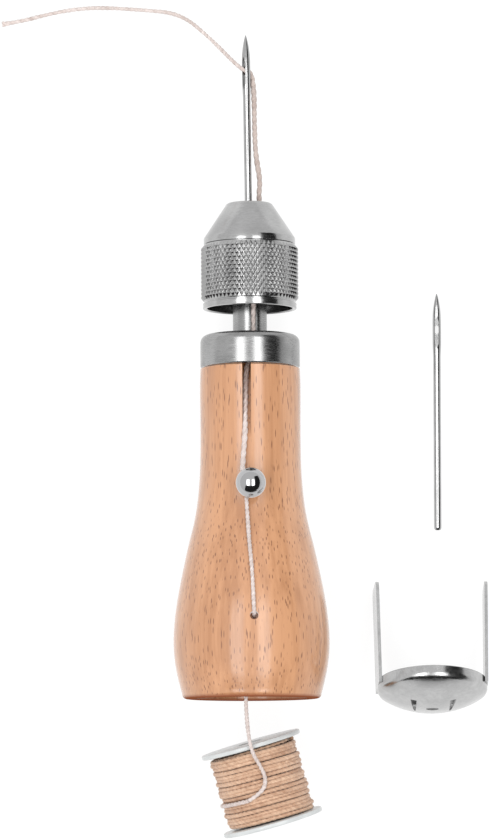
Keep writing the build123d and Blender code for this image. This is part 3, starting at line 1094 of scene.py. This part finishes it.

# The lead runs on into the last turn, drawn in the paler colour of the free thread rather than the darker
# colour given to the winding
lead_end = BOBBIN.inverted() @ lead_path[-1] / MM
end_radius = math.hypot(lead_end.x, lead_end.y)
end_angle = math.atan2(lead_end.y, lead_end.x)
last_turn_angle = math.copysign(1.1, bobbin_side.x)
last_turn_sinks = 0.5
last_turn_steps = 30
last_turn = []
for k in range(last_turn_steps + 1):
    angle = end_angle - last_turn_angle * k / last_turn_steps
    radius = end_radius - last_turn_sinks * k / last_turn_steps
    last_turn.append(
        BOBBIN @ (Vector((radius * math.cos(angle), radius * math.sin(angle), lead_end.z)) * MM)
    )
last = twisted_thread("winding_last_turn", last_turn, thread_radius, pale_thread)
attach(last, "bobbin")

# ---- end cap -----------------------------------------------------------------------------------
# Stamped from one piece of sheet steel and plated: a shallow dish with two prongs carried up from its
# rim, and three openings lanced through the dish. They are cut plain here, without lifted lips.

cap_low, cap_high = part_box("end_cap_shell")
cap_radius = 13.0
cap_tilt = math.radians(19.98)
cap_axis = Vector((0, math.cos(cap_tilt), -math.sin(cap_tilt)))
cap_up = Vector((0, math.sin(cap_tilt), math.cos(cap_tilt)))
rim_middle = Vector(
    (
        (cap_low.x + cap_high.x) / 2,
        cap_high.y - cap_radius * math.sin(cap_tilt) * MM,
        (cap_radius * math.cos(cap_tilt) + 0.03) * MM,
    )
)
CAP = Matrix.Translation(rim_middle) @ Matrix((Vector((1, 0, 0)), -cap_up, cap_axis)).transposed().to_4x4()
wall = 0.7
skirt = 2.6
dome = 4.2
dome_radius = (cap_radius**2 + dome**2) / (2 * dome)
depth = skirt + dome


def dome_arc(radius, first, last, steps):
    """Points on a dome of one radius, between two radii of the dish."""
    centre = dome_radius - depth
    return [
        (
            first + (last - first) * k / steps,
            centre - (radius**2 - (first + (last - first) * k / steps) ** 2) ** 0.5,
        )
        for k in range(steps + 1)
    ]


# The shoulder is an arc that touches the skirt and the dome
shoulder_radius = 1.6
shoulder_across = cap_radius - shoulder_radius
shoulder_along = dome_radius - depth - ((dome_radius - shoulder_radius) ** 2 - shoulder_across**2) ** 0.5
turn_in = math.asin(shoulder_across / (dome_radius - shoulder_radius))


def shoulder_arc(radius):
    """Points round the shoulder, from the skirt down to where it runs into the dome."""
    steps = 7
    return [
        (
            shoulder_across + radius * math.cos((math.pi / 2 - turn_in) * k / steps),
            shoulder_along - radius * math.sin((math.pi / 2 - turn_in) * k / steps),
        )
        for k in range(steps + 1)
    ]


edge_of_dome = dome_radius * math.sin(turn_in)
inner_edge = (dome_radius - wall) * math.sin(turn_in)
cap = turn_on_lathe(
    "end_cap_stamped",
    [(cap_radius - wall, 0.0), (cap_radius - 0.12, 0.0), (cap_radius, -0.15)]
    + shoulder_arc(shoulder_radius)
    + dome_arc(dome_radius, edge_of_dome, 0.01, 14)[1:]
    + dome_arc(dome_radius - wall, 0.01, inner_edge, 14)
    + shoulder_arc(shoulder_radius - wall)[::-1][1:]
    + [(cap_radius - wall, 0.0)],
)
# The three lanced openings: a wedge on each side and a lens in the middle
for side in (-1, 1):
    wedge = block((side * 3.95, -4.3, -9), (side * 5.4, 2.8, -3.5))
    for v in wedge.data.vertices:
        if v.co.y > 0 and abs(v.co.x) > 4.5:
            v.co.x = side * 4.3
    cut_away(cap, wedge)
bpy.ops.object.select_all(action="DESELECT")
bpy.ops.mesh.primitive_cylinder_add(vertices=16, radius=1, depth=5, location=(-0.1, 0, -7))
lens = bpy.context.object
lens.scale = (1.5, 0.85, 1)
bpy.ops.object.transform_apply(location=True, scale=True)
cut_away(cap, lens)
lay_down(cap, CAP)
smooth_turned(cap, 30)
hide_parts("end_cap_shell")
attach(cap, "end_cap")
stamped = satin_metal("stamped_plated_steel", "c0c0c0", "b0b0b0", 0.2, 0.25 * MM, CAP, (3, 3, 3))
cap.data.materials.append(stamped)

for name in ("end_cap_prong_left", "end_cap_prong_right"):
    prong = frame["nodes"][name]
    smooth_turned(prong, 30)
    prong.data.materials.clear()
    prong.data.materials.append(stamped)

# ---- floor, light ------------------------------------------------------------------------------
# A sheet of white acrylic lit from below, under a white tent, with a long softbox on each side of the
# camera. A black card to the right draws the dark band down round metal, and one in front draws the
# dark line under the shoulder of the end cap.

bpy.ops.object.select_all(action="DESELECT")
bpy.ops.mesh.primitive_plane_add(size=8, location=(0, 0, 0))
floor = bpy.context.object
floor.name = "white_table"
white, shader = new_finish("white_table", Roughness=0.7, Emission_Strength=0.86)
shader.inputs["Base Color"].default_value = linear("6a6a6a")
shader.inputs["Emission Color"].default_value = linear("ffffff")
floor.data.materials.append(white)

world = bpy.data.worlds.new("white_tent")
world.use_nodes = True
world.node_tree.nodes["Background"].inputs["Color"].default_value = (1, 1, 1, 1)
world.node_tree.nodes["Background"].inputs["Strength"].default_value = 0.9
bpy.context.scene.world = world
bpy.context.scene.view_settings.view_transform = "Standard"

light_height = 0.8
light_length = 0.8
light_strength = 3.6
for name, near, far in (("softbox_left", -11.5, -31.0), ("softbox_right", 9.0, 26.6)):
    left = light_height * math.tan(math.radians(far))
    right = light_height * math.tan(math.radians(near))
    width = abs(right - left)
    lamp = bpy.data.lights.new(name, "AREA")
    lamp.shape = "RECTANGLE"
    lamp.size = width
    lamp.size_y = light_length
    lamp.energy = light_strength * math.pi * width * light_length
    box = bpy.data.objects.new(name, lamp)
    box.location = (base.x + (left + right) / 2, base.y, light_height)
    bpy.context.scene.collection.objects.link(box)

black, shader = new_finish("black_card", Roughness=0.9)
shader.inputs["Base Color"].default_value = linear("101010")
card_distance = 0.6
for name, near, far, towards, half_length in (
    ("black_card_right", 31.0, 72.0, 0.0, 0.6),
    ("black_card_front", 25.0, 78.0, -90.0, 0.5),
):
    middle = math.radians((near + far) / 2)
    reach = card_distance * math.tan(math.radians((far - near) / 2))
    bpy.ops.object.select_all(action="DESELECT")
    bpy.ops.mesh.primitive_plane_add(size=2)
    card = bpy.context.object
    card.name = name
    card.scale = (reach, half_length, 1)
    card.rotation_euler = (0, middle, math.radians(towards))
    card.location = (
        base.x + card_distance * math.sin(middle) * math.cos(math.radians(towards)),
        card_distance * math.sin(middle) * math.sin(math.radians(towards)),
        card_distance * math.cos(middle),
    )
    card.visible_camera = False
    card.visible_diffuse = False
    card.visible_shadow = False
    card.visible_transmission = False
    card.data.materials.append(black)
